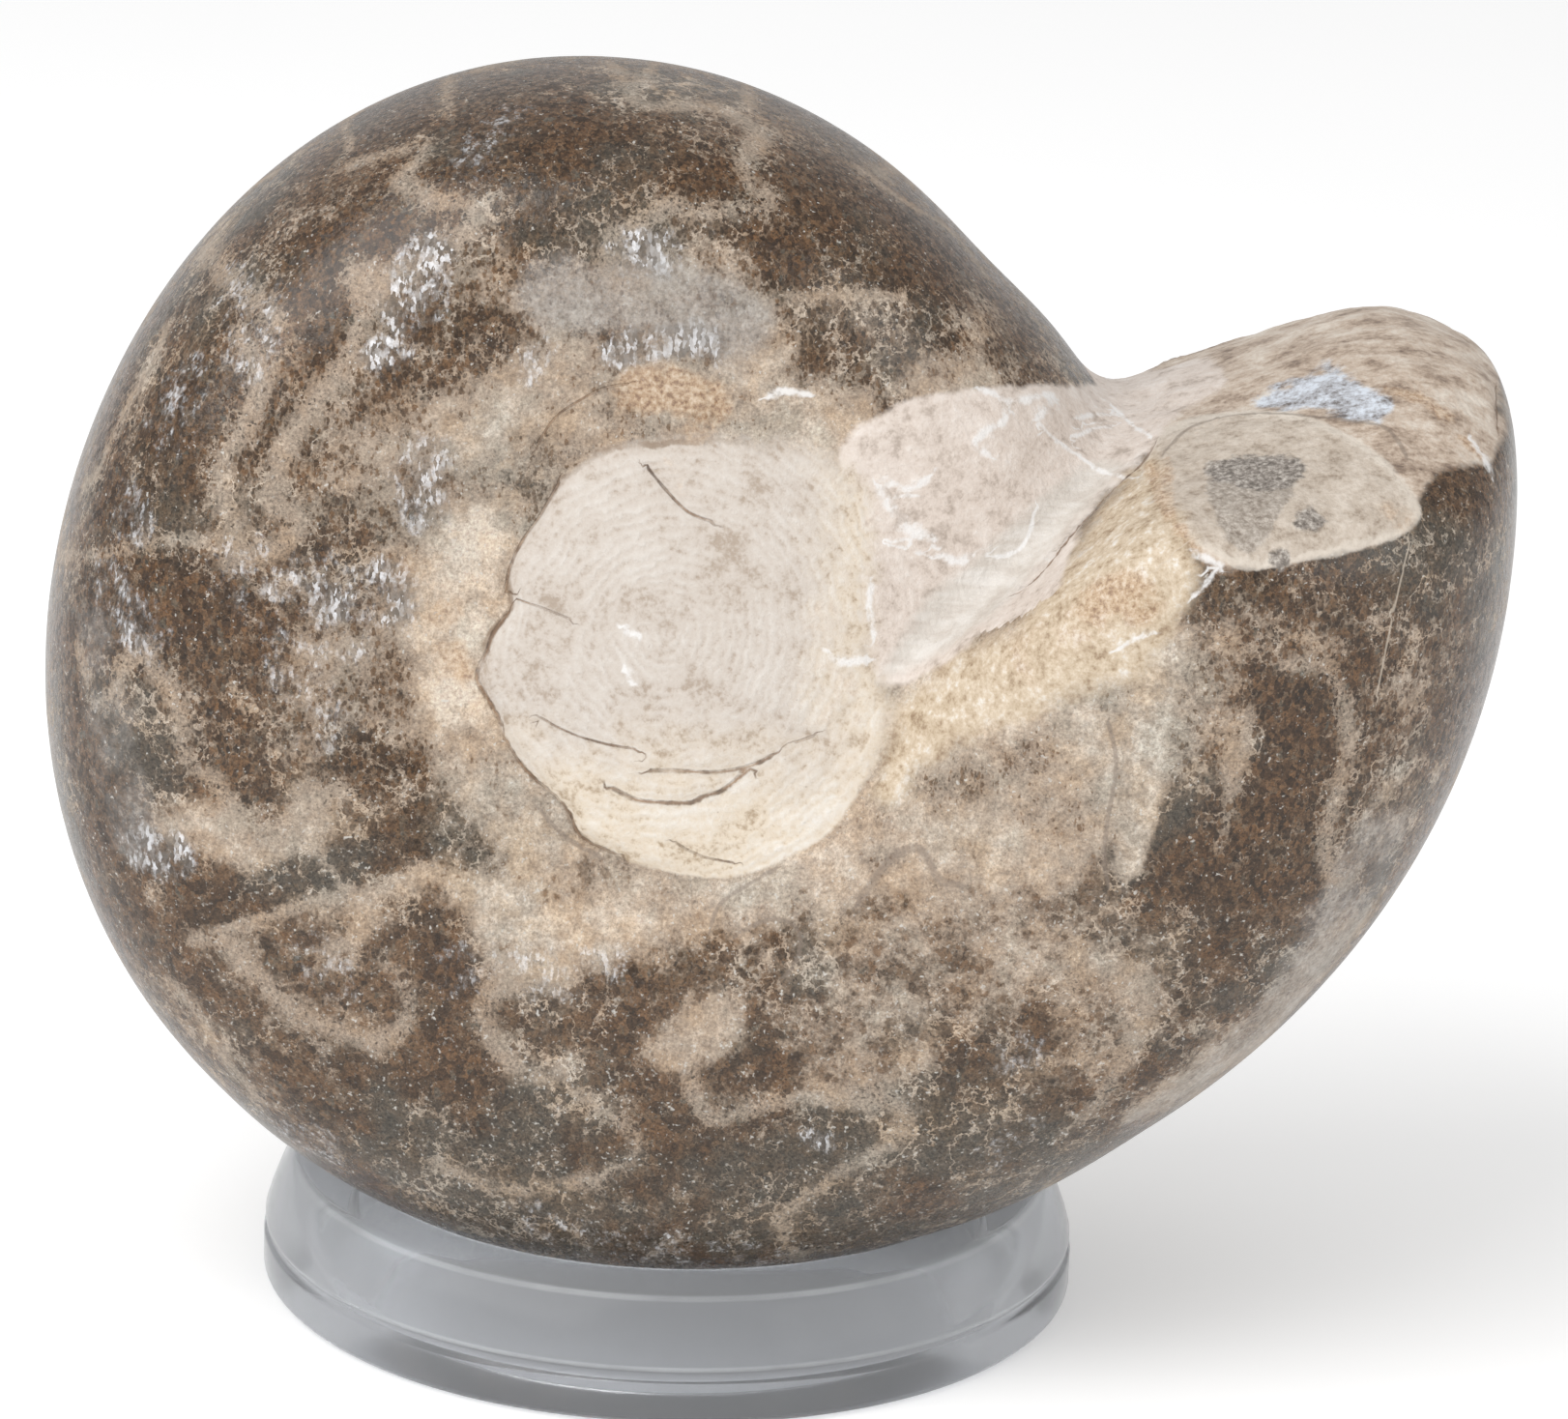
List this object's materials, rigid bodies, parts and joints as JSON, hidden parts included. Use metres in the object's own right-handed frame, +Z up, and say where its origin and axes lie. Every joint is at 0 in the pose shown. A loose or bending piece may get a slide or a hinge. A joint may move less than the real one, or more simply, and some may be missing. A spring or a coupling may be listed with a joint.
{
  "type": "vascoceras ammonite fossil",
  "caption": "Polished, tightly coiled ammonite fossil with a broken end and filled navel, standing upright in a clear turned ring stand for display.",
  "frame": {"origin": "centre of the whole model's bounding box in X and Y, at the foot of the ring stand (Z = 0 is the surface it stands on)", "axes": "+Z up; +X to the shell's broken end, in the plane of the coil; -Y is the flank shown to the viewer"},
  "size_m": [0.0994, 0.0602, 0.0866],
  "materials": {
    "dark_stone": "polished dark brown calcite with tan suture bands, glossy",
    "clear_plastic": "clear, slightly frosted turned plastic"
  },
  "bodies": {
    "root": {"ammonite": "dark_stone", "ring_stand": "clear_plastic"}
  },
  "joints": []
}
